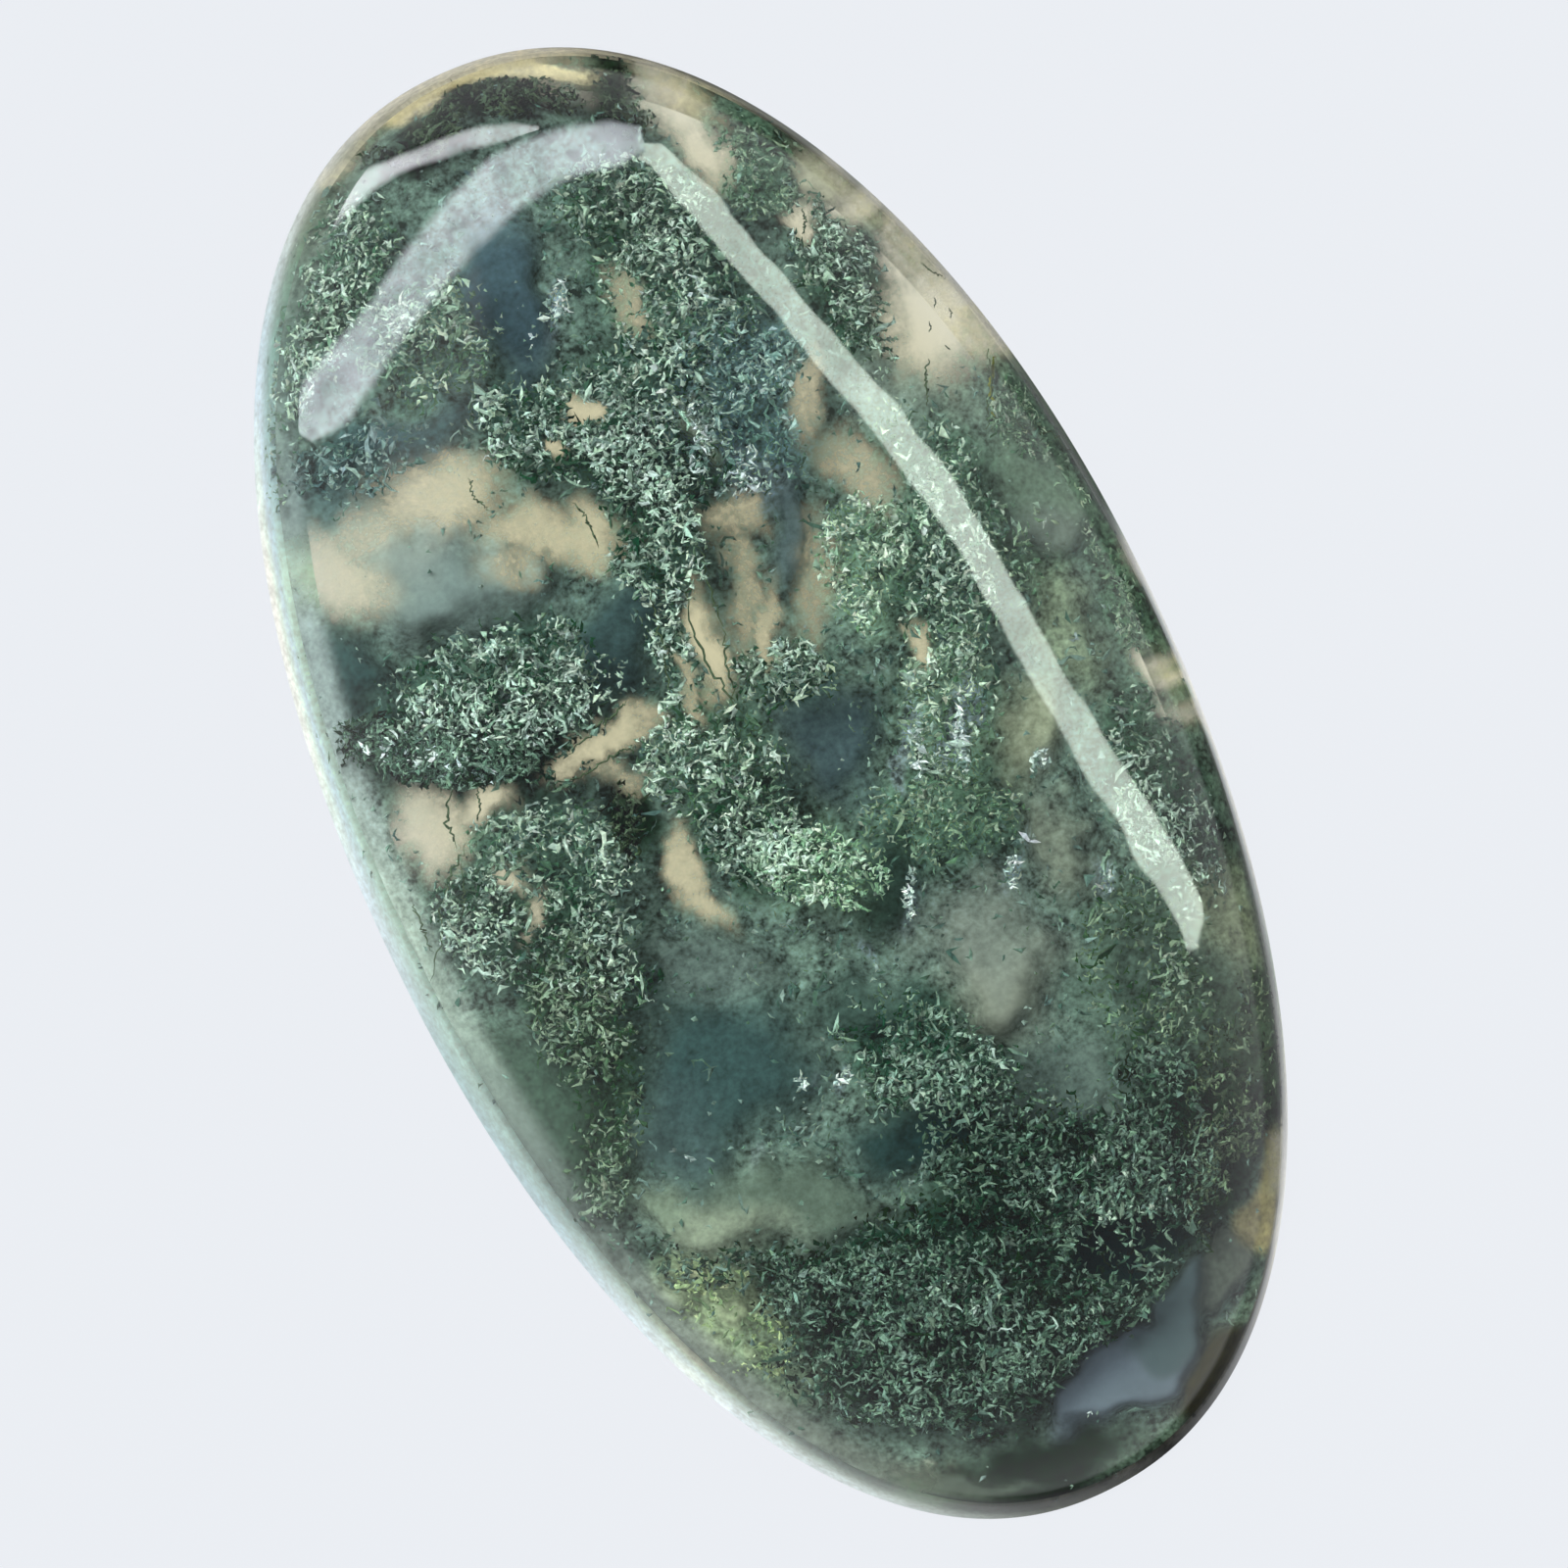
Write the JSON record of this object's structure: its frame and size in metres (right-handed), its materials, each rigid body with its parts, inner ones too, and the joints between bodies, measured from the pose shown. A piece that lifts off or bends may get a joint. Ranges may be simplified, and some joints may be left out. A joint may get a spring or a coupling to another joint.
{
  "type": "moss agate cabochon",
  "caption": "Long oval cabochon of polished translucent chalcedony with green moss-like inclusions, a low domed front and a flat back.",
  "frame": {"origin": "middle of the flat back, on the surface that the stone rests on", "axes": "+Z out of the domed front, +Y along the stone's length, +X across its width"},
  "size_m": [0.0218, 0.04, 0.0055],
  "materials": {
    "polished_moss_agate": "high polish, translucent grey-green chalcedony with cream windows and dark green moss inclusions"
  },
  "bodies": {
    "root": {"moss_agate": "polished_moss_agate"}
  },
  "joints": []
}
